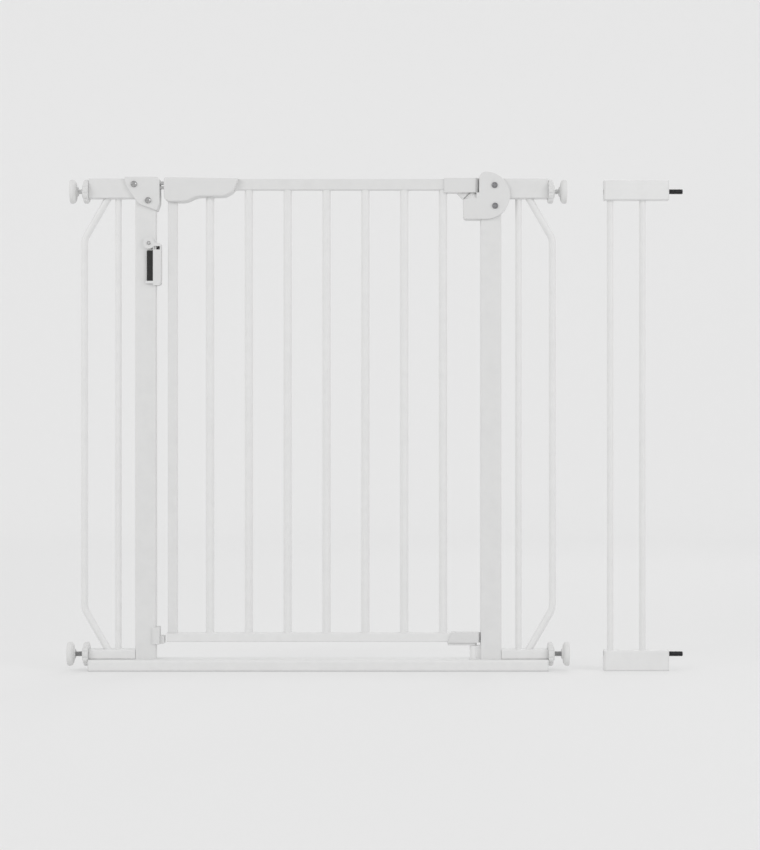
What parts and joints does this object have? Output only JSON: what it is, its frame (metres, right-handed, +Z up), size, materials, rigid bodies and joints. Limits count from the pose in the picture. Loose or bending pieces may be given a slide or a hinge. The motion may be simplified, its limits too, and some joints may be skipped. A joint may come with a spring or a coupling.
{
  "type": "safety baby gate",
  "caption": "White pressure-mounted steel safety gate with a swinging barred door, screw-out wall pads, a sprung latch in the handle and a loose extension panel.",
  "frame": {"origin": "centre of the bottom rail's underside, on the floor", "axes": "+X along the gate towards the hinge side, +Y away from the front, +Z up"},
  "size_m": [0.9524, 0.04, 0.771],
  "materials": {
    "white_steel": "satin white powder coat",
    "white_plastic": "fine matt moulded plastic",
    "pad_plastic": "soft white rubber",
    "black_plastic": "black rubber",
    "bright_steel": "zinc plated",
    "dark_steel": "dark zinc",
    "black_steel": "black oxide"
  },
  "bodies": {
    "gate_frame": {"bottom_rail": "white_steel", "bottom_rail_end_caps": "white_plastic", "latch_post": "white_steel", "hinge_post": "white_steel", "upper_stub_tube_left": "white_steel", "upper_stub_tube_right": "white_steel", "lower_stub_tube_left": "white_steel", "lower_stub_tube_right": "white_steel", "side_bar_left": "white_steel", "side_bar_right": "white_steel", "bent_side_tube_left": "white_steel", "bent_side_tube_right": "white_steel", "upper_bolt_bushes": "white_plastic", "lower_bolt_bushes": "white_plastic", "latch_strike_front": "white_plastic", "latch_strike_back": "white_plastic", "strike_through_screws": "bright_steel", "hinge_casing_front": "white_plastic", "hinge_casing_back": "white_plastic", "casing_through_screws": "dark_steel", "upper_hinge_pin": "bright_steel", "hinge_foot": "white_plastic", "lower_hinge_pin": "bright_steel", "lower_keeper": "white_plastic", "post_fitting_housing": "white_plastic", "post_fitting_strip": "black_plastic", "post_fitting_screw": "bright_steel"},
    "door": {"door_top_rail": "white_steel", "door_bottom_rail": "white_steel", "door_latch_stile": "white_steel", "door_bars": "white_steel", "door_rail_end_plug": "white_plastic", "upper_hinge_sleeve": "white_plastic", "lower_hinge_sleeve": "white_plastic", "handle_front": "white_plastic", "handle_back": "white_plastic", "handle_screws": "bright_steel", "latch_spring": "bright_steel", "spring_seat": "white_plastic"},
    "latch": {"latch_tongue": "white_plastic", "release_button": "white_plastic"},
    "extension_panel": {"panel_upper_tube": "white_steel", "panel_lower_tube": "white_steel", "panel_bars": "white_steel", "panel_socket_plugs": "white_plastic", "panel_pin_plugs": "white_plastic", "panel_threaded_pins": "black_steel"},
    "nut_upper_left": {"hand_nut_upper_left": "white_plastic"},
    "bolt_upper_left": {"spindle_upper_left": "dark_steel", "wall_pad_upper_left": "pad_plastic"},
    "nut_upper_right": {"hand_nut_upper_right": "white_plastic"},
    "bolt_upper_right": {"spindle_upper_right": "dark_steel", "wall_pad_upper_right": "pad_plastic"},
    "nut_lower_left": {"hand_nut_lower_left": "white_plastic"},
    "bolt_lower_left": {"spindle_lower_left": "dark_steel", "wall_pad_lower_left": "pad_plastic"},
    "nut_lower_right": {"hand_nut_lower_right": "white_plastic"},
    "bolt_lower_right": {"spindle_lower_right": "dark_steel", "wall_pad_lower_right": "pad_plastic"}
  },
  "joints": [
    {"name": "door_swing", "type": "hinge", "parent": "gate_frame", "child": "door", "pos_m": [0.239, 0, 0.4], "axis": [0, 0, 1], "range_deg": [-90, 90], "stiffness_Nm_per_rad": 1.5},
    {"name": "latch_slide", "type": "slide", "parent": "door", "child": "latch", "axis": [1, 0, 0], "range_m": [0, 0.009], "stiffness_N_per_m": 300, "springref_m": -0.008},
    {"name": "panel_move", "type": "slide", "parent": "gate_frame", "child": "extension_panel", "axis": [1, 0, 0], "range_m": [0, 0.1]},
    {"name": "bolt_slide_upper_left", "type": "slide", "parent": "gate_frame", "child": "bolt_upper_left", "axis": [-1, 0, 0], "range_m": [-0.0065, 0.02]},
    {"name": "nut_turn_upper_left", "type": "hinge", "parent": "gate_frame", "child": "nut_upper_left", "pos_m": [-0.3603, 0, 0.7415], "axis": [-1, 0, 0], "range_deg": [-1170.1, 3600.1]},
    {"name": "bolt_slide_upper_right", "type": "slide", "parent": "gate_frame", "child": "bolt_upper_right", "axis": [1, 0, 0], "range_m": [-0.0065, 0.02]},
    {"name": "nut_turn_upper_right", "type": "hinge", "parent": "gate_frame", "child": "nut_upper_right", "pos_m": [0.3603, 0, 0.7415], "axis": [1, 0, 0], "range_deg": [-1170.1, 3600.1]},
    {"name": "bolt_slide_lower_left", "type": "slide", "parent": "gate_frame", "child": "bolt_lower_left", "axis": [-1, 0, 0], "range_m": [-0.0105, 0.02]},
    {"name": "nut_turn_lower_left", "type": "hinge", "parent": "gate_frame", "child": "nut_lower_left", "pos_m": [-0.3603, 0, 0.0255], "axis": [-1, 0, 0], "range_deg": [-1890.1, 3600.1]},
    {"name": "bolt_slide_lower_right", "type": "slide", "parent": "gate_frame", "child": "bolt_lower_right", "axis": [1, 0, 0], "range_m": [-0.0105, 0.02]},
    {"name": "nut_turn_lower_right", "type": "hinge", "parent": "gate_frame", "child": "nut_lower_right", "pos_m": [0.3603, 0, 0.0255], "axis": [1, 0, 0], "range_deg": [-1890.1, 3600.1]}
  ],
  "couplings": [
    {"joint": "nut_turn_upper_left", "follows": "bolt_slide_upper_left", "rad_per_m": 3141.6},
    {"joint": "nut_turn_upper_right", "follows": "bolt_slide_upper_right", "rad_per_m": 3141.6},
    {"joint": "nut_turn_lower_left", "follows": "bolt_slide_lower_left", "rad_per_m": 3141.6},
    {"joint": "nut_turn_lower_right", "follows": "bolt_slide_lower_right", "rad_per_m": 3141.6}
  ]
}
